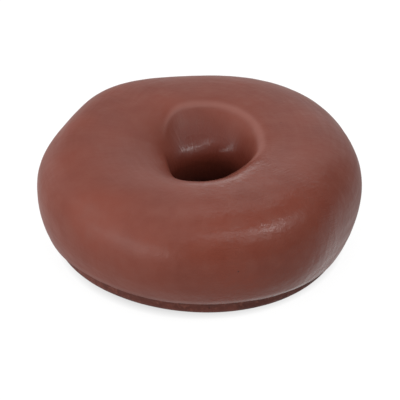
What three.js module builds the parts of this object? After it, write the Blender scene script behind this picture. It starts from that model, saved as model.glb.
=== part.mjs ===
// A chocolate glazed ring doughnut, in millimetres, +Z up.
// It rests on its flat fried underside, and the origin is on that surface, under the doughnut's middle.
// The ring is swept round the Z axis from a section that changes with the angle, so it is uneven
// in width, height and at the hole, as raised dough is.
import * as THREE from 'three';

// Sizes of the dough ring. Radii are measured from the ring's own axis, heights from the underside.
const BELLY_RADIUS = 43.7;
const BELLY_HEIGHT = 16.8;
const CREST_RADIUS = 27.7;
const CREST_HEIGHT = 29.6;
const FOOT_RADIUS = 40.6;
const FOOT_ROUNDING = 2.6;
const WAIST_RADIUS = 11.4;
const WAIST_HEIGHT = 18.5;
const HOLE_FOOT_RADIUS = 16.5;

// How far each stretch of the section runs on straight before it bends.
const FOOT_FLARE = 0.3;
const FOOT_RISE = 4;
const BELLY_DROP = 7.6;
const SHOULDER_RISE = 9.2;
const SHOULDER_WIDTH = 9.2;
const WAIST_DROP = 6;
const SKIRT_RISE = 0.5;

// The rim of the hole: soft and low in front and on the left, crisp and high at the back and on
// the right. The brow is how far the top runs on level towards it, and the bend how far it keeps
// the rim's slope before it. Inside it the wall keeps that slope for a share of its way in to the
// waist, and stands upright for a share of its height over the waist.
// The cosines of the angle from the crispest place say where it is wholly soft and wholly crisp.
const SOFT_RIM = { radius: 13.3, drop: 4.6, brow: 7, bend: 3 };
const CRISP_RIM = { radius: 18, drop: 1.4, brow: 7.6, bend: 0.8 };
const RIM_SLOPE = 46;
const WALL_SHARE = 0.5;
const UPRIGHT_SHARE = 0.33;
const CRISPEST_AT = 45;
const SOFT_COSINE = -0.3;
const CRISP_COSINE = 0.5;

// The chocolate glaze follows the dough, a hair clear of it.
const GLAZE_THICKNESS = 1.3;
const GLAZE_CLEARANCE = 0.3;

// Unevenness: each swell adds size * cos(lobes * (angle - at)), in millimetres and degrees.
const BELLY_SWELLS = [
  { lobes: 2, size: 0.4, at: -76 },
  { lobes: 3, size: 0.8, at: 36 },
  { lobes: 4, size: 0.8, at: 37 },
  { lobes: 5, size: 0.7, at: -18 },
  { lobes: 6, size: 0.65, at: 3 },
  { lobes: 8, size: 0.25, at: -9 },
];
const FOOT_SWELLS = [
  { lobes: 1, size: 1.05, at: 95 },
  { lobes: 2, size: 0.15, at: -71 },
  { lobes: 3, size: 0.55, at: -56 },
];
const RIM_SWELLS = [
  { lobes: 1, size: 0.9, at: -46 },
  { lobes: 2, size: 1.7, at: -84 },
  { lobes: 3, size: 0.47, at: 34 },
  { lobes: 4, size: 0.16, at: -25 },
];
const WAIST_SWELLS = [
  { lobes: 1, size: 3.1, at: -42 },
  { lobes: 2, size: 0.8, at: 0 },
];
const HEIGHT_SWELLS = [
  { lobes: 1, size: 1.05, at: 43 },
  { lobes: 2, size: 0.5, at: -69 },
];
// The share of the belly's swell that reaches the crest, and of the waist's the hole's lower edge.
const CREST_SHARE = 0.2;
const HOLE_FOOT_SHARE = 0.3;

// Steps round the ring and along each stretch of the section.
const STEPS_ROUND = 84;
const ROUNDING_STEPS = 3;
const FLANK_STEPS = 5;
const SHOULDER_STEPS = 7;
const BROW_STEPS = 6;
const WALL_STEPS = 5;
const LOWER_HOLE_STEPS = 3;
const LIP_STEPS = 4;

// The glaze starts low on the outer flank and ends low in the hole, counted in section steps.
const GLAZE_START = ROUNDING_STEPS + 2;
const GLAZE_END = ROUNDING_STEPS + FLANK_STEPS + SHOULDER_STEPS + BROW_STEPS + WALL_STEPS + 1;

const point = (radius, height) => new THREE.Vector2(radius, height);

const swell = (swells, angle) => swells.reduce(
  (sum, { lobes, size, at }) => sum + size * Math.cos(lobes * (angle - THREE.MathUtils.degToRad(at))), 0);

// The rim's sizes at an angle, between the soft and the crisp one.
function rimAt(angle) {
  const cosine = Math.cos(angle - THREE.MathUtils.degToRad(CRISPEST_AT));
  const crisp = THREE.MathUtils.smoothstep(cosine, SOFT_COSINE, CRISP_COSINE);
  const mix = (size) => THREE.MathUtils.lerp(SOFT_RIM[size], CRISP_RIM[size], crisp);
  return { radius: mix('radius'), drop: mix('drop'), brow: mix('brow'), bend: mix('bend') };
}

// The dough's outside at an angle: from the foot up the flank, over the crest and down the hole.
function doughSection(angle) {
  const bulge = swell(BELLY_SWELLS, angle);
  const widening = swell(WAIST_SWELLS, angle);
  const top = CREST_HEIGHT + swell(HEIGHT_SWELLS, angle);
  const foot = FOOT_RADIUS + swell(FOOT_SWELLS, angle);
  const belly = BELLY_RADIUS + bulge;
  const crest = CREST_RADIUS + CREST_SHARE * bulge;
  const waist = WAIST_RADIUS + widening;
  const holeFoot = HOLE_FOOT_RADIUS + HOLE_FOOT_SHARE * widening;
  const rim = rimAt(angle);
  const rimSpot = point(rim.radius + swell(RIM_SWELLS, angle), top - rim.drop);
  const downhill = point(-1, -Math.tan(THREE.MathUtils.degToRad(RIM_SLOPE)));
  const upright = UPRIGHT_SHARE * (rimSpot.y - WAIST_HEIGHT);

  const rounding = new THREE.EllipseCurve(
    foot - FOOT_ROUNDING, FOOT_ROUNDING, FOOT_ROUNDING, FOOT_ROUNDING, -Math.PI / 2, 0);
  const flank = new THREE.CubicBezierCurve(
    point(foot, FOOT_ROUNDING), point(foot + FOOT_FLARE, FOOT_ROUNDING + FOOT_RISE),
    point(belly, BELLY_HEIGHT - BELLY_DROP), point(belly, BELLY_HEIGHT));
  const shoulder = new THREE.CubicBezierCurve(
    point(belly, BELLY_HEIGHT), point(belly, BELLY_HEIGHT + SHOULDER_RISE),
    point(crest + SHOULDER_WIDTH, top), point(crest, top));
  const brow = new THREE.CubicBezierCurve(
    point(crest, top), point(crest - rim.brow, top),
    rimSpot.clone().addScaledVector(downhill, -rim.bend), rimSpot);
  const wall = new THREE.CubicBezierCurve(
    rimSpot, rimSpot.clone().addScaledVector(downhill, WALL_SHARE * (rimSpot.x - waist)),
    point(waist, WAIST_HEIGHT + upright), point(waist, WAIST_HEIGHT));
  const lowerHole = new THREE.CubicBezierCurve(
    point(waist, WAIST_HEIGHT), point(waist, WAIST_HEIGHT - WAIST_DROP),
    point(holeFoot, SKIRT_RISE), point(holeFoot, 0));

  const stretches = [
    [rounding, ROUNDING_STEPS], [flank, FLANK_STEPS], [shoulder, SHOULDER_STEPS],
    [brow, BROW_STEPS], [wall, WALL_STEPS], [lowerHole, LOWER_HOLE_STEPS],
  ];
  const start = [rounding.getPoint(0)];
  return start.concat(...stretches.map(([curve, steps]) => curve.getPoints(steps).slice(1)));
}

// The direction along a section and the way out of it, at one of its points.
function frameAt(section, index) {
  const before = section[Math.max(index - 1, 0)];
  const after = section[Math.min(index + 1, section.length - 1)];
  const along = after.clone().sub(before).normalize();
  return { along, out: point(along.y, -along.x) };
}

function offsetPoint(section, index, distance) {
  return section[index].clone().addScaledVector(frameAt(section, index).out, distance);
}

// A half-round edge of the glaze, from one skin to the other, on the side that `side` gives.
function glazeLip(section, index, side) {
  const { along, out } = frameAt(section, index);
  const half = GLAZE_THICKNESS / 2;
  const centre = section[index].clone().addScaledVector(out, GLAZE_CLEARANCE + half);
  const lip = [];
  for (let step = 1; step < LIP_STEPS; step += 1) {
    const turn = Math.PI * step / LIP_STEPS;
    lip.push(centre.clone()
      .addScaledVector(out, side * half * Math.cos(turn))
      .addScaledVector(along, side * half * Math.sin(turn)));
  }
  return lip;
}

// The glaze's closed outline at an angle: outer skin, lip in the hole, inner skin, lip on the flank.
function glazeSection(angle) {
  const dough = doughSection(angle);
  const outer = [];
  const inner = [];
  for (let index = GLAZE_START; index <= GLAZE_END; index += 1) {
    outer.push(offsetPoint(dough, index, GLAZE_CLEARANCE + GLAZE_THICKNESS));
    inner.unshift(offsetPoint(dough, index, GLAZE_CLEARANCE));
  }
  return [...outer, ...glazeLip(dough, GLAZE_END, 1), ...inner, ...glazeLip(dough, GLAZE_START, -1)];
}

// Sweeps a closed outline, counterclockwise in radius and height, round the Z axis.
function sweepRound(outlineAt) {
  const positions = [];
  const triangles = [];
  let count = 0;
  for (let turn = 0; turn < STEPS_ROUND; turn += 1) {
    const angle = 2 * Math.PI * turn / STEPS_ROUND;
    const outline = outlineAt(angle);
    count = outline.length;
    outline.forEach(({ x, y }) => positions.push(x * Math.cos(angle), x * Math.sin(angle), y));
  }
  const corner = (turn, index) => (turn % STEPS_ROUND) * count + index % count;
  for (let turn = 0; turn < STEPS_ROUND; turn += 1) {
    for (let index = 0; index < count; index += 1) {
      const near = corner(turn, index);
      const far = corner(turn + 1, index + 1);
      triangles.push(near, corner(turn + 1, index), far);
      triangles.push(near, far, corner(turn, index + 1));
    }
  }
  const geometry = new THREE.BufferGeometry();
  geometry.setAttribute('position', new THREE.Float32BufferAttribute(positions, 3));
  geometry.setIndex(triangles);
  geometry.computeVertexNormals();
  return geometry;
}

function makeDoughRing() {
  const crust = new THREE.MeshStandardMaterial({ color: 0x6b3a28, roughness: 0.75, metalness: 0 });
  const ring = new THREE.Mesh(sweepRound(doughSection), crust);
  ring.name = 'dough_ring';
  return ring;
}

function makeChocolateGlaze() {
  const chocolate = new THREE.MeshStandardMaterial({ color: 0x7a4538, roughness: 0.35, metalness: 0 });
  const glaze = new THREE.Mesh(sweepRound(glazeSection), chocolate);
  glaze.name = 'chocolate_glaze';
  return glaze;
}

const doughnut = new THREE.Group();
doughnut.add(makeDoughRing(), makeChocolateGlaze());

// The uneven ring is moved sideways so that its overall middle stands over the origin.
const middle = new THREE.Box3().setFromObject(doughnut, true).getCenter(new THREE.Vector3());
doughnut.position.set(-middle.x, -middle.y, 0);
doughnut.updateMatrixWorld(true);

export default doughnut;
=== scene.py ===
import math

import bmesh
import bpy
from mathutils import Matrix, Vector, noise
from mathutils.geometry import interpolate_bezier


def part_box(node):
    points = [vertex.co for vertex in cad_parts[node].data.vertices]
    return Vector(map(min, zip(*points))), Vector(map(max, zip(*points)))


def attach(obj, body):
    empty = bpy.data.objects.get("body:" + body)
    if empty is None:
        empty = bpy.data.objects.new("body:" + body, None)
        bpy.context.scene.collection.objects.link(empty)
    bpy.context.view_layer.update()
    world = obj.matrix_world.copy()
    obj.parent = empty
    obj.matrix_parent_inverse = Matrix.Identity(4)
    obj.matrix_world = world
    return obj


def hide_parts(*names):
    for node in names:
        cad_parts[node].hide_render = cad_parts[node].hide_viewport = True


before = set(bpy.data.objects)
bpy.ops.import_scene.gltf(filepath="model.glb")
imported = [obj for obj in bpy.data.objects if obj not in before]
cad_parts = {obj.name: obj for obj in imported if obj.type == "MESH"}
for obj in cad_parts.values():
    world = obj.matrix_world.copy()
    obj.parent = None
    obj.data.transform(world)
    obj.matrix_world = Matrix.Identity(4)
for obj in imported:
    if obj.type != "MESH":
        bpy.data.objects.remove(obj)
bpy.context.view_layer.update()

# Sizes of the dough ring. Radii are measured from the ring's own axis, heights from the underside.
BELLY_RADIUS = 0.0437
BELLY_HEIGHT = 0.0168
CREST_RADIUS = 0.0277
CREST_HEIGHT = 0.0296
FOOT_RADIUS = 0.0406
FOOT_ROUNDING = 0.0026
WAIST_RADIUS = 0.0114
WAIST_HEIGHT = 0.0185
HOLE_FOOT_RADIUS = 0.0165

# How far each stretch of the section runs on straight before it bends.
FOOT_FLARE = 0.0003
FOOT_RISE = 0.004
BELLY_DROP = 0.0076
SHOULDER_RISE = 0.0092
SHOULDER_WIDTH = 0.0092
WAIST_DROP = 0.006
SKIRT_RISE = 0.0005

# The rim of the hole: soft and low in front and on the left, crisp and high at the back and on
# the right. The brow is how far the top runs on level towards it, and the bend how far it keeps
# the rim's slope before it. Inside it the wall keeps that slope for a share of its way in to the
# waist, and stands upright for a share of its height over the waist.
# The cosines of the angle from the crispest place say where it is wholly soft and wholly crisp.
SOFT_RIM = {"radius": 0.0133, "drop": 0.0046, "brow": 0.007, "bend": 0.003}
CRISP_RIM = {"radius": 0.018, "drop": 0.0014, "brow": 0.0076, "bend": 0.0008}
RIM_SLOPE = 46
WALL_SHARE = 0.5
UPRIGHT_SHARE = 0.33
CRISPEST_AT = 45
SOFT_COSINE = -0.3
CRISP_COSINE = 0.5

# The chocolate glaze follows the dough, a hair clear of it.
GLAZE_THICKNESS = 0.0013
GLAZE_CLEARANCE = 0.0003

# Unevenness: each swell is (lobes, size, at) and adds size * cos(lobes * (angle - at)), with
# angles in degrees from the right, round by the back.
BELLY_SWELLS = (
    (2, 0.0004, -76),
    (3, 0.0008, 36),
    (4, 0.0008, 37),
    (5, 0.0007, -18),
    (6, 0.00065, 3),
    (8, 0.00025, -9),
)
FOOT_SWELLS = ((1, 0.00105, 95), (2, 0.00015, -71), (3, 0.00055, -56))
RIM_SWELLS = ((1, 0.0009, -46), (2, 0.0017, -84), (3, 0.00047, 34), (4, 0.00016, -25))
WAIST_SWELLS = ((1, 0.0031, -42), (2, 0.0008, 0))
HEIGHT_SWELLS = ((1, 0.00105, 43), (2, 0.0005, -69))
# The share of the belly's swell that reaches the crest, and of the waist's the hole's lower edge.
CREST_SHARE = 0.2
HOLE_FOOT_SHARE = 0.3

# Steps round the ring and along each stretch of the section. The glaze's inner skin, which lies
# against the dough, takes only one step in so many.
STEPS_ROUND = 420
ROUNDING_STEPS = 8
FLANK_STEPS = 30
SHOULDER_STEPS = 42
BROW_STEPS = 40
WALL_STEPS = 26
LOWER_HOLE_STEPS = 15
LIP_STEPS = 10
INNER_SKIN_STRIDE = 8

# Stations are counted in steps from the foot. The glaze starts at this share of the flank, and
# ends at this share of the lower hole.
GLAZE_START_SHARE = 0.4
GLAZE_END_SHARE = 1 / 3
RIM_STATION = ROUNDING_STEPS + FLANK_STEPS + SHOULDER_STEPS + BROW_STEPS
GLAZE_START = ROUNDING_STEPS + round(GLAZE_START_SHARE * FLANK_STEPS)
GLAZE_END = RIM_STATION + WALL_STEPS + round(GLAZE_END_SHARE * LOWER_HOLE_STEPS)

# Relief of the set glaze, over or under its plain form. The lumps are layers of noise, each with
# its spacing and its height. All relief fades out this close to the glaze's two edges.
GLAZE_LUMPS = ((0.015, 0.00014), (0.007, 0.00007), (0.003, 0.00003))
EDGE_FADE = 0.0012

# Fine drawn lines, by their spacing each way. Drag lines run round the ring, in patches. This far
# inside the rim they have given way to run lines, which go down into the hole.
DRAG_LINES = {"along": 0.009, "across": 0.0013, "height": 0.000012}
DRAG_PATCHES = 0.018
DRAG_PATCH_EDGE = 2
RUN_LINES = {"along": 0.009, "across": 0.0011, "height": 0.00004}
RUN_LINES_FROM = 0.006

# The glaze stands up in a slight roll above its lower edge, and in another just outside the crisp
# part of the rim, where a painted highlight line follows it.
EDGE_ROLL = {"above": 0.0016, "width": 0.0012, "height": 0.00007}
RIM_ROLL = {"outside": 0.0005, "width": 0.0007, "height": 0.00008}
RIM_HIGHLIGHT_LINE = {"outside": 0.0008, "width": 0.0008}

# The glaze has run down into the hole and set there as a low bead across the far wall, with a
# shallow dip above it. Crest and dip are heights over the underside. The bead is strongest at
# this angle, and has faded out at this cosine of the angle from there.
HOLE_BEAD = {"crest": 0.0210, "dip": 0.0262, "width": 0.0019, "height": 0.0002, "at": 98, "ends": 0.4}

# The glaze's lower edge waves, by spacings in metres and heights in steps. It dips where a
# thicker run of glaze hangs down, by angle and width in degrees and depth in steps.
EDGE_WAVES = ((0.009, 0.5), (0.0035, 0.35))
EDGE_DIPS = ({"at": 324, "width": 17, "depth": 4.0}, {"at": 205, "width": 12, "depth": 2.0})

# Relief of the fried crust below the glaze, which fades out between these heights.
CRUST_LUMPS = ((0.008, 0.00016), (0.003, 0.00006), (0.0015, 0.000025))
CRUST_FADES_FROM = 0.007
CRUST_FADES_TO = 0.009


def swell(swells, angle):
    return sum(size * math.cos(lobes * (angle - math.radians(at))) for lobes, size, at in swells)


def smoothstep(share):
    share = min(max(share, 0), 1)
    return share * share * (3 - 2 * share)


def crispness(angle):
    """0 where the hole's rim is wholly soft, 1 where it is wholly crisp."""
    cosine = math.cos(angle - math.radians(CRISPEST_AT))
    return smoothstep((cosine - SOFT_COSINE) / (CRISP_COSINE - SOFT_COSINE))


def rim_at(angle):
    """The rim's sizes at an angle, between the soft and the crisp one."""
    crisp = crispness(angle)
    return {size: SOFT_RIM[size] + crisp * (CRISP_RIM[size] - SOFT_RIM[size]) for size in SOFT_RIM}


def curve(start, start_handle, end_handle, end, steps):
    points = [Vector((x, z, 0)) for x, z in (start, start_handle, end_handle, end)]
    return [point.to_2d() for point in interpolate_bezier(*points, steps + 1)]


def dough_section(angle):
    """The dough's outside at an angle: up the flank, over the crest and down the hole."""
    bulge = swell(BELLY_SWELLS, angle)
    widening = swell(WAIST_SWELLS, angle)
    top = CREST_HEIGHT + swell(HEIGHT_SWELLS, angle)
    foot = FOOT_RADIUS + swell(FOOT_SWELLS, angle)
    belly = BELLY_RADIUS + bulge
    crest = CREST_RADIUS + CREST_SHARE * bulge
    waist = WAIST_RADIUS + widening
    hole_foot = HOLE_FOOT_RADIUS + HOLE_FOOT_SHARE * widening
    rim = rim_at(angle)
    rim_spot = Vector((rim["radius"] + swell(RIM_SWELLS, angle), top - rim["drop"]))
    downhill = Vector((-1, -math.tan(math.radians(RIM_SLOPE))))

    rounding = []
    for step in range(ROUNDING_STEPS + 1):
        turn = -math.pi / 2 * (1 - step / ROUNDING_STEPS)
        across = foot - FOOT_ROUNDING + FOOT_ROUNDING * math.cos(turn)
        rounding.append(Vector((across, FOOT_ROUNDING + FOOT_ROUNDING * math.sin(turn))))
    stretches = (
        curve((foot, FOOT_ROUNDING), (foot + FOOT_FLARE, FOOT_ROUNDING + FOOT_RISE),
              (belly, BELLY_HEIGHT - BELLY_DROP), (belly, BELLY_HEIGHT), FLANK_STEPS),
        curve((belly, BELLY_HEIGHT), (belly, BELLY_HEIGHT + SHOULDER_RISE),
              (crest + SHOULDER_WIDTH, top), (crest, top), SHOULDER_STEPS),
        curve((crest, top), (crest - rim["brow"], top),
              rim_spot - downhill * rim["bend"], rim_spot, BROW_STEPS),
        curve(rim_spot, rim_spot + downhill * WALL_SHARE * (rim_spot.x - waist),
              (waist, WAIST_HEIGHT + UPRIGHT_SHARE * (rim_spot.y - WAIST_HEIGHT)),
              (waist, WAIST_HEIGHT), WALL_STEPS),
        curve((waist, WAIST_HEIGHT), (waist, WAIST_HEIGHT - WAIST_DROP),
              (hole_foot, SKIRT_RISE), (hole_foot, 0), LOWER_HOLE_STEPS),
    )
    return rounding + [point for stretch in stretches for point in stretch[1:]]


def rim_arcs(section):
    """How far each point of a section lies inside the hole's rim, along the section."""
    arcs = [0]
    for before, after in zip(section, section[1:]):
        arcs.append(arcs[-1] + (after - before).length)
    return [arc - arcs[RIM_STATION] for arc in arcs]


def between(values, station):
    """The value at a station, which may lie between two steps."""
    lower = min(int(station), len(values) - 2)
    share = station - lower
    return values[lower] * (1 - share) + values[lower + 1] * share


def frame_at(section, station):
    """The direction along the section and the way out of it, at one of its stations."""
    before = between(section, max(station - 1, 0))
    after = between(section, min(station + 1, len(section) - 1))
    along = (after - before).normalized()
    return along, Vector((along.y, -along.x))


def offset_point(section, station, distance):
    return between(section, station) + frame_at(section, station)[1] * distance


def place_at(angle, point):
    """Where a point of the section at an angle lies in space, from the ring's axis."""
    return Vector((point.x * math.cos(angle), point.x * math.sin(angle), point.y))


def lumps(place, layers):
    return sum(height * noise.noise(place / spacing) for spacing, height in layers)


def hump(distance, width):
    """1 at no distance, and fades to 0 on both sides."""
    return math.exp(-(distance / width) ** 2)


def lines(height, around, inwards):
    """Noise that is drawn out to fine lines, at a place given in spacings round and inwards."""
    return height * noise.noise(Vector((around.x, around.y, inwards)))


def hole_bead(angle, height):
    """How far the bead in the hole stands over the wall, or its dip under it."""
    cosine = math.cos(angle - math.radians(HOLE_BEAD["at"]))
    share = smoothstep((cosine - HOLE_BEAD["ends"]) / (1 - HOLE_BEAD["ends"]))
    crest = hump(height - HOLE_BEAD["crest"], HOLE_BEAD["width"])
    dip = hump(height - HOLE_BEAD["dip"], HOLE_BEAD["width"])
    return share * HOLE_BEAD["height"] * (crest - dip)


def glaze_relief(angle, point, arc, from_edge, to_edge):
    """How far the glaze's outer skin stands over its plain form at a point, by how far that lies
    inside the hole's rim, above the glaze's lower edge and before its edge in the hole."""
    place = place_at(angle, point)
    around = Vector((math.cos(angle), math.sin(angle))) * CREST_RADIUS
    inside = smoothstep(arc / RUN_LINES_FROM)
    drag = lines(DRAG_LINES["height"], around / DRAG_LINES["along"], arc / DRAG_LINES["across"])
    drag *= smoothstep(DRAG_PATCH_EDGE * noise.noise(place / DRAG_PATCHES))
    run = lines(RUN_LINES["height"], around / RUN_LINES["across"], arc / RUN_LINES["along"])
    relief = lumps(place, GLAZE_LUMPS) + (1 - inside) * drag
    relief += inside * (run + hole_bead(angle, point.y))
    relief += EDGE_ROLL["height"] * hump(from_edge - EDGE_ROLL["above"], EDGE_ROLL["width"])
    relief += crispness(angle) * RIM_ROLL["height"] * hump(arc + RIM_ROLL["outside"], RIM_ROLL["width"])
    return relief * smoothstep(min(from_edge, to_edge) / EDGE_FADE)


def edge_station(angle):
    """The station of the glaze's lower edge at an angle."""
    station = GLAZE_START + lumps(place_at(angle, Vector((FOOT_RADIUS, 0))), EDGE_WAVES)
    for dip in EDGE_DIPS:
        turned = (math.degrees(angle) - dip["at"] + 180) % 360 - 180
        station -= dip["depth"] * hump(turned, dip["width"])
    return station


def glaze_lip(section, station, side):
    """A half-round edge of the glaze, from one skin to the other."""
    along, out = frame_at(section, station)
    half = GLAZE_THICKNESS / 2
    centre = between(section, station) + out * (GLAZE_CLEARANCE + half)
    turns = [math.pi * step / LIP_STEPS for step in range(1, LIP_STEPS)]
    return [centre + side * half * (out * math.cos(turn) + along * math.sin(turn)) for turn in turns]


def glaze_outline(angle):
    """The glaze's closed outline at an angle: outer skin, lip in the hole, inner skin, lip outside.
    With each point comes how far it lies inside the hole's rim."""
    dough = dough_section(angle)
    arcs = rim_arcs(dough)
    start = edge_station(angle)
    steps = GLAZE_END - GLAZE_START
    stations = [start + (GLAZE_END - start) * step / steps for step in range(steps + 1)]
    edge = between(arcs, start)
    end = arcs[GLAZE_END]
    outer = []
    for station in stations:
        arc = between(arcs, station)
        relief = glaze_relief(angle, between(dough, station), arc, arc - edge, end - arc)
        skin = offset_point(dough, station, GLAZE_CLEARANCE + GLAZE_THICKNESS + relief)
        outer.append((skin, arc))
    inner_stations = [*stations[:0:-INNER_SKIN_STRIDE], start]
    inner = [(offset_point(dough, at, GLAZE_CLEARANCE), between(arcs, at)) for at in inner_stations]
    hole_lip = [(point, end) for point in glaze_lip(dough, GLAZE_END, 1)]
    outer_lip = [(point, edge) for point in glaze_lip(dough, start, -1)]
    return outer + hole_lip + inner + outer_lip


def dough_outline(angle):
    """The dough's closed outline at an angle, with its crust's relief where no glaze covers it.
    With each point comes how far it lies inside the hole's rim."""
    dough = dough_section(angle)
    outline = []
    for station, (point, arc) in enumerate(zip(dough, rim_arcs(dough))):
        bare = 1 - smoothstep((point.y - CRUST_FADES_FROM) / (CRUST_FADES_TO - CRUST_FADES_FROM))
        bare *= smoothstep(point.y / FOOT_ROUNDING)
        relief = bare * lumps(place_at(angle, point), CRUST_LUMPS)
        outline.append((offset_point(dough, station, relief), arc))
    return outline


def sweep_round(name, outline_at):
    """Spins a closed outline round the Z axis, then gives every angle its own outline.
    The attribute flow holds the direction round the ring, and how far a point is inside the rim.
    A second attribute, for the painted highlight line, is 1 along the crisp part of the rim, and fades
    to 0 beside it."""
    shape = bmesh.new()
    station = shape.verts.layers.int.new("station")
    flow = shape.verts.layers.float_vector.new("flow")
    painted_rim_highlight = shape.verts.layers.float.new("painted_rim_highlight")
    corners = [shape.verts.new((point.x, 0, point.y)) for point, arc in outline_at(0)]
    for index, corner in enumerate(corners):
        corner[station] = index
    edges = [shape.edges.new((corners[index - 1], corners[index])) for index in range(len(corners))]
    bmesh.ops.spin(
        shape, geom=corners + edges, cent=(0, 0, 0), axis=(0, 0, 1),
        angle=2 * math.pi, steps=STEPS_ROUND, use_merge=True,
    )
    outlines = [outline_at(2 * math.pi * step / STEPS_ROUND) for step in range(STEPS_ROUND)]
    for corner in shape.verts:
        angle = math.atan2(corner.co.y, corner.co.x)
        step = round(angle / (2 * math.pi) * STEPS_ROUND) % STEPS_ROUND
        turn = 2 * math.pi * step / STEPS_ROUND
        point, arc = outlines[step][corner[station]]
        corner.co = place_at(turn, point)
        corner[flow] = (CREST_RADIUS * math.cos(turn), CREST_RADIUS * math.sin(turn), arc)
        corner[painted_rim_highlight] = crispness(turn) * hump(arc + RIM_HIGHLIGHT_LINE["outside"], RIM_HIGHLIGHT_LINE["width"])
    bmesh.ops.recalc_face_normals(shape, faces=shape.faces)
    piece = new_piece(name, shape)
    piece.data.shade_smooth()
    return piece


def new_piece(name, shape):
    """An object of this name with the shape as its mesh, which uses the shape up."""
    mesh = bpy.data.meshes.new(name)
    shape.to_mesh(mesh)
    shape.free()
    return add_object(name, mesh)


def add_object(name, data):
    thing = bpy.data.objects.new(name, data)
    bpy.context.scene.collection.objects.link(thing)
    return thing


def middle_of(low, high):
    return (low + high) / 2


def mesh_box(mesh):
    low = Vector([min(vertex.co[axis] for vertex in mesh.vertices) for axis in range(3)])
    high = Vector([max(vertex.co[axis] for vertex in mesh.vertices) for axis in range(3)])
    return low, high


# Materials

# The range of a share, the same turned round, and the middle that a noise swings about.
UNIT = (0, 1)
UNIT_TURNED = (1, 0)
NOISE_MIDDLE = 0.5
WHITE = (1, 1, 1, 1)


def new_material(name):
    material = bpy.data.materials.new(name)
    material.use_nodes = True
    return material, material.node_tree.nodes, material.node_tree.links


def object_place(nodes):
    return nodes.new("ShaderNodeTexCoord").outputs["Object"]


def mesh_attribute(nodes, name):
    attribute = nodes.new("ShaderNodeAttribute")
    attribute.attribute_name = name
    return attribute.outputs


def flow_vector(nodes):
    return mesh_attribute(nodes, "flow")["Vector"]


# Where a highlight is painted along the crisp part of the rim.
def painted_rim_highlight_value(nodes):
    return mesh_attribute(nodes, "painted_rim_highlight")["Fac"]


def depth_in_hole(nodes, links):
    """How far inside the hole's rim a point lies, along the section."""
    parts = nodes.new("ShaderNodeSeparateXYZ")
    links.new(flow_vector(nodes), parts.inputs["Vector"])
    return parts.outputs["Z"]


def reach_towards(nodes, links, degrees):
    """How far round the ring a point lies towards this angle, up to the crest's radius there."""
    turn = math.radians(degrees)
    reach = nodes.new("ShaderNodeVectorMath")
    reach.operation = "DOT_PRODUCT"
    reach.inputs[1].default_value = (math.cos(turn), math.sin(turn), 0)
    links.new(flow_vector(nodes), reach.inputs[0])
    return reach.outputs["Value"]


def distance_from(nodes, links, point):
    distance = nodes.new("ShaderNodeVectorMath")
    distance.operation = "DISTANCE"
    distance.inputs[1].default_value = point
    links.new(object_place(nodes), distance.inputs[0])
    return distance.outputs["Value"]


def calculate(nodes, links, operation, first, second):
    """One step of arithmetic with two values, each a fixed float or another node's output."""
    step = nodes.new("ShaderNodeMath")
    step.operation = operation
    for socket, value in zip(step.inputs, (first, second)):
        if isinstance(value, float):
            socket.default_value = value
        else:
            links.new(value, socket)
    return step.outputs["Value"]


def flow_place(nodes, links, around, inwards):
    """The mesh's flow attribute, in spacings round the ring and down the hole."""
    scaled = nodes.new("ShaderNodeMapping")
    scaled.inputs["Scale"].default_value = (1 / around, 1 / around, 1 / inwards)
    links.new(flow_vector(nodes), scaled.inputs["Vector"])
    return scaled.outputs["Vector"]


def add_noise(nodes, links, place, spacing, detail=2.0, roughness=0.5):
    grain = nodes.new("ShaderNodeTexNoise")
    grain.inputs["Scale"].default_value = 1 / spacing
    grain.inputs["Detail"].default_value = detail
    grain.inputs["Roughness"].default_value = roughness
    links.new(place, grain.inputs["Vector"])
    return grain.outputs["Fac"]


def remap(nodes, links, value, old, new):
    """A value carried from one range to another, and held at that one's ends."""
    change = nodes.new("ShaderNodeMapRange")
    change.inputs["From Min"].default_value = old[0]
    change.inputs["From Max"].default_value = old[1]
    change.inputs["To Min"].default_value = new[0]
    change.inputs["To Max"].default_value = new[1]
    links.new(value, change.inputs["Value"])
    return change.outputs["Result"]


def blend_colour(nodes, links, share, first, second):
    """A mix of two colours, each a fixed one or another node's output."""
    mix = nodes.new("ShaderNodeMix")
    mix.data_type = "RGBA"
    links.new(share, mix.inputs["Factor"])
    for socket, colour in ((mix.inputs["A"], first), (mix.inputs["B"], second)):
        if isinstance(colour, tuple):
            socket.default_value = (*colour, 1)
        else:
            links.new(colour, socket)
    return mix.outputs["Result"]


def add_bump(nodes, links, height, size, below=None):
    """Bumps over those below, by their distance in metres and their strength."""
    bump = nodes.new("ShaderNodeBump")
    bump.inputs["Distance"].default_value, bump.inputs["Strength"].default_value = size
    links.new(height, bump.inputs["Height"])
    if below is not None:
        links.new(below, bump.inputs["Normal"])
    return bump.outputs["Normal"]


# A pit is full depth out to this share of its size.
PIT_FLOOR = 0.4


def add_pits(nodes, links, place, spacing, size, share):
    """1 in small round pits: a share of the cells of a scattered pattern holds one."""
    cells = nodes.new("ShaderNodeTexVoronoi")
    cells.inputs["Scale"].default_value = 1 / spacing
    links.new(place, cells.inputs["Vector"])
    slope = (PIT_FLOOR * size / spacing, size / spacing)
    near = remap(nodes, links, cells.outputs["Distance"], slope, UNIT_TURNED)
    chosen = calculate(nodes, links, "LESS_THAN", cells.outputs["Color"], share)
    return calculate(nodes, links, "MULTIPLY", near, chosen)


# The chocolate's colours, and the most of some of them that is mixed in.
CHOCOLATE = (0.096, 0.0226, 0.0140)
CHOCOLATE_WARM = (0.110, 0.0244, 0.0142)
CHOCOLATE_PALE = (0.108, 0.0300, 0.0200)
# A painted highlight: the paler colour of the line along the crisp rim.
CHOCOLATE_RIM_HIGHLIGHT = (0.155, 0.0620, 0.0500)
# Painted shade, darker inside the hole.
CHOCOLATE_HOLE_SHADE = (0.072, 0.0135, 0.0080)
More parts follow.
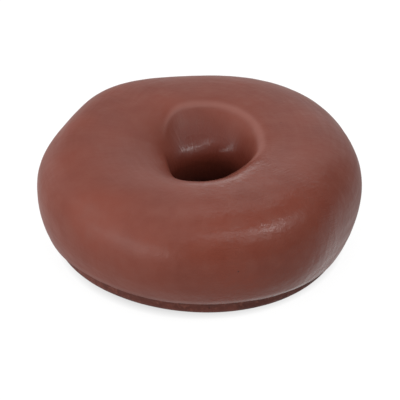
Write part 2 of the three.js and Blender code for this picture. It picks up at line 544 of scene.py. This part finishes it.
# Painted shade in the burst bubbles' pits.
CHOCOLATE_PIT_SHADE = (0.045, 0.0110, 0.0070)
PALE_SHARE = 0.8
RIM_HIGHLIGHT_SHARE = 0.6
HOLE_SHADE_SHARE = 0.8

# Its sheen.
CHOCOLATE_SPECULAR = 0.08
CHOCOLATE_COAT = 0.16
CHOCOLATE_COAT_ROUGHNESS = 0.45

# Its patterns: spacings in metres, and the range of each noise that counts as none to all.
CLOUD_SPACING = 0.016
CLOUD_RANGE = (0.35, 0.65)
MOTTLE_SPACING = 0.004
MOTTLE_RANGE = (0.4, 0.75)
STREAKS = {"around": 0.008, "inwards": 0.0009}
STREAK_RANGE = (0.3, 0.7)
STROKES = {"around": 0.0009, "inwards": 0.005}
RUFFLE_SPACING = 0.0024
RUFFLE_ROUGHNESS = 0.6
BURST_BUBBLES = {"spacing": 0.0075, "size": 0.00028, "share": 0.3}
FINE_DETAIL = 3

# Its roughness where it dried untouched, where it is glossier at the right front, and in the
# hole. The streaks add an unevenness between two values.
DRY_ROUGHNESS = 0.5
TOUCHED_ROUGHNESS = 0.22
HOLE_ROUGHNESS = 0.16
STREAK_ROUGHNESS = (-0.05, 0.06)

# Where painted shade darkens it and where it is glossier: by how far inside the rim a point lies,
# and by how far it reaches towards an angle in degrees. Both are in metres.
HOLE_SHADE_RANGE = (0.0005, 0.007)
HOLE_GLOSS_RANGE = (0.005, 0.009)
TOUCHED_AT = 298
TOUCHED_RANGE = (0.018, 0.027)
# The share of the ruffles that shows where it is untouched.
DRY_RUFFLES = 0.4

# Relief that is too fine for the mesh: distance and strength of its bumps.
RUFFLE_BUMP = (0.00024, 0.8)
STREAK_BUMP = (0.00002, 0.4)
STROKE_BUMP = (0.00006, 0.6)
BUBBLE_BUMP = (0.00015, 0.6)


def chocolate_colour(nodes, links, place, depth, pits):
    clouds = remap(nodes, links, add_noise(nodes, links, place, CLOUD_SPACING), CLOUD_RANGE, UNIT)
    mottle = add_noise(nodes, links, place, MOTTLE_SPACING, FINE_DETAIL)
    pale = remap(nodes, links, mottle, MOTTLE_RANGE, (0, PALE_SHARE))
    # Painted highlight along the crisp part of the rim.
    rim = remap(nodes, links, painted_rim_highlight_value(nodes), UNIT, (0, RIM_HIGHLIGHT_SHARE))
    # Painted shade, which darkens the glaze deeper inside the hole.
    hole_shade = remap(nodes, links, depth, HOLE_SHADE_RANGE, (0, HOLE_SHADE_SHARE))
    colour = blend_colour(nodes, links, clouds, CHOCOLATE, CHOCOLATE_WARM)
    colour = blend_colour(nodes, links, pale, colour, CHOCOLATE_PALE)
    colour = blend_colour(nodes, links, hole_shade, colour, CHOCOLATE_HOLE_SHADE)
    colour = blend_colour(nodes, links, rim, colour, CHOCOLATE_RIM_HIGHLIGHT)
    # Painted shade darkens the burst bubbles' pits.
    return blend_colour(nodes, links, pits, colour, CHOCOLATE_PIT_SHADE)


def chocolate_roughness(nodes, links, touched, depth, streaks):
    dull = remap(nodes, links, touched, UNIT, (DRY_ROUGHNESS, TOUCHED_ROUGHNESS))
    dull_inside = remap(nodes, links, depth, HOLE_GLOSS_RANGE, (DRY_ROUGHNESS, HOLE_ROUGHNESS))
    dull = calculate(nodes, links, "MINIMUM", dull, dull_inside)
    uneven = remap(nodes, links, streaks, STREAK_RANGE, STREAK_ROUGHNESS)
    return calculate(nodes, links, "ADD", dull, uneven)


def chocolate_bumps(nodes, links, place, touched, streaks, pits):
    """Ruffles, drawn lines round the ring, brushed lines down it and burst bubbles. The ruffles
    swing round zero before they are weakened, so that no step shows where they are weaker."""
    brushed = flow_place(nodes, links, **STROKES)
    strokes = add_noise(nodes, links, brushed, 1)
    ruffles = add_noise(nodes, links, place, RUFFLE_SPACING, FINE_DETAIL, RUFFLE_ROUGHNESS)
    ruffles = calculate(nodes, links, "SUBTRACT", ruffles, NOISE_MIDDLE)
    strength = remap(nodes, links, touched, UNIT, (DRY_RUFFLES, 1))
    ruffles = calculate(nodes, links, "MULTIPLY", ruffles, strength)
    normal = add_bump(nodes, links, ruffles, RUFFLE_BUMP)
    normal = add_bump(nodes, links, streaks, STREAK_BUMP, normal)
    normal = add_bump(nodes, links, strokes, STROKE_BUMP, normal)
    return add_bump(nodes, links, remap(nodes, links, pits, UNIT, UNIT_TURNED), BUBBLE_BUMP, normal)


def chocolate_material():
    """Set milk chocolate: satin, softly clouded, with fine drawn lines and a few burst bubbles.
    It has a painted highlight along the crisp part of the hole's rim, and painted shade darkens it
    inside the hole."""
    material, nodes, links = new_material("set_milk_chocolate")
    shader = nodes["Principled BSDF"]
    shader.inputs["Specular IOR Level"].default_value = CHOCOLATE_SPECULAR
    shader.inputs["Coat Weight"].default_value = CHOCOLATE_COAT
    shader.inputs["Coat Roughness"].default_value = CHOCOLATE_COAT_ROUGHNESS
    place = object_place(nodes)
    depth = depth_in_hole(nodes, links)
    touched = remap(nodes, links, reach_towards(nodes, links, TOUCHED_AT), TOUCHED_RANGE, UNIT)
    streaks = add_noise(nodes, links, flow_place(nodes, links, **STREAKS), 1, FINE_DETAIL)
    pits = add_pits(nodes, links, place, **BURST_BUBBLES)
    normal = chocolate_bumps(nodes, links, place, touched, streaks, pits)
    links.new(chocolate_colour(nodes, links, place, depth, pits), shader.inputs["Base Color"])
    links.new(chocolate_roughness(nodes, links, touched, depth, streaks), shader.inputs["Roughness"])
    links.new(normal, shader.inputs["Normal"])
    links.new(normal, shader.inputs["Coat Normal"])
    return material


# The crust's colours, the most of the light one that is mixed in, and its sheen.
CRUST = (0.085, 0.0230, 0.0160)
CRUST_DARK = (0.050, 0.0130, 0.0090)
CRUST_LIGHT = (0.125, 0.0400, 0.0270)
LIGHT_SHARE = 0.7
CRUST_SPECULAR = 0.12

# Its patterns, and its roughness from the bottom of a wrinkle to the top.
PATCH_SPACING = 0.006
PATCH_RANGE = (0.35, 0.65)
SPECK_SPACING = 0.0012
SPECK_RANGE = (0.55, 0.75)
PORES = {"spacing": 0.0022, "size": 0.0003, "share": 0.45}
WRINKLE_SPACING = 0.0009
WRINKLE_DETAIL = 4
WRINKLE_ROUGHNESS = 0.6
WRINKLE_RANGE = (0.3, 0.7)
CRUST_ROUGHNESS = (0.5, 0.72)
WRINKLE_BUMP = (0.00018, 0.6)
PORE_BUMP = (0.0002, 0.7)


def crust_material():
    """Deep-fried crust: dry, dark and mottled, with fine wrinkles, and pores with painted shade in
    them.
    """
    material, nodes, links = new_material("dark_fried_crust")
    shader = nodes["Principled BSDF"]
    shader.inputs["Specular IOR Level"].default_value = CRUST_SPECULAR
    place = object_place(nodes)
    patches = add_noise(nodes, links, place, PATCH_SPACING, FINE_DETAIL)
    specks = add_noise(nodes, links, place, SPECK_SPACING, FINE_DETAIL)
    wrinkles = add_noise(nodes, links, place, WRINKLE_SPACING, WRINKLE_DETAIL, WRINKLE_ROUGHNESS)
    pores = add_pits(nodes, links, place, **PORES)
    dark = remap(nodes, links, patches, PATCH_RANGE, UNIT)
    light = remap(nodes, links, specks, SPECK_RANGE, (0, LIGHT_SHARE))
    colour = blend_colour(nodes, links, dark, CRUST, CRUST_DARK)
    colour = blend_colour(nodes, links, light, colour, CRUST_LIGHT)
    # Painted shade darkens the pores.
    colour = blend_colour(nodes, links, pores, colour, CRUST_DARK)
    links.new(colour, shader.inputs["Base Color"])
    roughness = remap(nodes, links, wrinkles, WRINKLE_RANGE, CRUST_ROUGHNESS)
    links.new(roughness, shader.inputs["Roughness"])
    normal = add_bump(nodes, links, wrinkles, WRINKLE_BUMP)
    normal = add_bump(nodes, links, remap(nodes, links, pores, UNIT, UNIT_TURNED), PORE_BUMP, normal)
    links.new(normal, shader.inputs["Normal"])
    return material


# The table, and how far from the ring's axis its glow starts and is full. Inside that the glow fades
# out to a painted shadow under the doughnut.
TABLE_HALF = 3.0
TABLE_DROP = 0.0001
TABLE_GREY = 0.08
TABLE_ROUGHNESS = 0.9
TABLE_GLOW = 0.92
PAINTED_SHADOW_EDGE = (0.028, 0.041)


def table_material(ring_axis):
    """A white table that glows evenly, except for a painted shadow under the doughnut where its glow
    fades out.
    """
    material, nodes, links = new_material("white_table")
    shader = nodes["Principled BSDF"]
    shader.inputs["Base Color"].default_value = (TABLE_GREY, TABLE_GREY, TABLE_GREY, 1)
    shader.inputs["Roughness"].default_value = TABLE_ROUGHNESS
    shader.inputs["Specular IOR Level"].default_value = 0
    shader.inputs["Emission Color"].default_value = WHITE
    distance = distance_from(nodes, links, ring_axis - Vector((0, 0, TABLE_DROP)))
    # The glow fades out under the doughnut: a painted shadow, which also darkens the table in the hole.
    glow = remap(nodes, links, distance, PAINTED_SHADOW_EDGE, (0, TABLE_GLOW))
    links.new(glow, shader.inputs["Emission Strength"])
    return material


# The doughnut

def make_glaze():
    glaze = sweep_round("glaze_coat", glaze_outline)
    glaze.data.materials.append(chocolate_material())
    return glaze


def make_dough():
    dough = sweep_round("dough_body", dough_outline)
    dough.data.materials.append(crust_material())
    return dough


def stand_in_frame(glaze, dough):
    """Moves both meshes sideways from the ring's axis to where the frame has them."""
    frame_middle = middle_of(*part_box("dough_ring"))
    ring_axis = frame_middle - middle_of(*mesh_box(dough.data))
    ring_axis.z = 0
    for piece in (glaze, dough):
        for vertex in piece.data.vertices:
            vertex.co += ring_axis
    return ring_axis


# The stage: table, lights and camera

def make_table(ring_axis):
    shape = bmesh.new()
    bmesh.ops.create_grid(shape, x_segments=1, y_segments=1, size=TABLE_HALF)
    bmesh.ops.translate(shape, verts=shape.verts, vec=(0, 0, -TABLE_DROP))
    table = new_piece("table_top", shape)
    table.data.materials.append(table_material(ring_axis))


def direction(azimuth, elevation):
    """Azimuth 0 is the camera's side and 90 the right, elevation is above the table, in degrees."""
    turn = math.radians(azimuth)
    rise = math.radians(elevation)
    return Vector((math.sin(turn) * math.cos(rise), -math.cos(turn) * math.cos(rise), math.sin(rise)))


def look_at(thing, aim, heading, distance):
    """Puts a thing this far from its aim, in the direction heading, and turns it to look back."""
    thing.location = aim + heading * distance
    thing.rotation_euler = heading.to_track_quat("Z", "Y").to_euler()


# Softboxes, all this far from the doughnut: azimuth and elevation, width and height, watts.
SOFTBOX_DISTANCE = 1.0
SOFTBOXES = {
    "low_left": (307, 13, 0.9, 0.4, 9.6),
    "left_mid": (265, 35, 0.5, 0.35, 1.8),
    "left_high": (272, 60, 1.4, 1.0, 4.8),
    "front_high": (330, 62, 1.0, 0.6, 0.7),
    "front_strip": (16, 62, 0.5, 0.16, 1.8),
    "overhead": (0, 86, 0.5, 0.5, 0.5),
    "right_front": (60, 50, 1.0, 0.3, 2.6),
    "right_key": (62, 55, 0.28, 0.14, 2.9),
    "back_high": (180, 62, 0.7, 0.3, 1.9),
    "back_mid": (165, 37, 0.8, 0.35, 1.4),
    "back_low": (165, 12, 0.9, 0.3, 1.6),
    "back_low_left": (225, 12, 0.7, 0.3, 1.5),
}
ROOM_LIGHT = 0.35
LIGHT_AIM_HEIGHT = 0.015


def add_softbox(name, aim, azimuth, elevation, width, height, watts):
    lamp = bpy.data.lights.new(name, "AREA")
    lamp.shape = "RECTANGLE"
    lamp.size = width
    lamp.size_y = height
    lamp.energy = watts
    look_at(add_object(name, lamp), aim, direction(azimuth, elevation), SOFTBOX_DISTANCE)


def light_studio(ring_axis):
    world = bpy.data.worlds.new("white_room")
    world.use_nodes = True
    background = world.node_tree.nodes["Background"]
    background.inputs["Color"].default_value = WHITE
    background.inputs["Strength"].default_value = ROOM_LIGHT
    bpy.context.scene.world = world
    aim = ring_axis + Vector((0, 0, LIGHT_AIM_HEIGHT))
    for name, softbox in SOFTBOXES.items():
        add_softbox(name, aim, *softbox)


# The camera looks at a spot given from the ring's axis, from this distance and elevation.
CAMERA_AIM = (-0.00013, -0.00145, 0.01177)
CAMERA_DISTANCE = 0.5
CAMERA_ELEVATION = 33.32
CAMERA_LENS = 161.6
CAMERA_CLIP_START = 0.01


def place_camera(ring_axis):
    camera = add_object("camera", bpy.data.cameras.new("camera"))
    camera.data.lens = CAMERA_LENS
    camera.data.clip_start = CAMERA_CLIP_START
    look_at(camera, ring_axis + Vector(CAMERA_AIM), direction(0, CAMERA_ELEVATION), CAMERA_DISTANCE)
    bpy.context.scene.camera = camera


glaze = make_glaze()
dough = make_dough()
ring_axis = stand_in_frame(glaze, dough)
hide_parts("chocolate_glaze")
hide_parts("dough_ring")
for piece in (glaze, dough):
    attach(piece, "root")

make_table(ring_axis)
light_studio(ring_axis)
place_camera(ring_axis)
bpy.context.scene.view_settings.view_transform = "Standard"
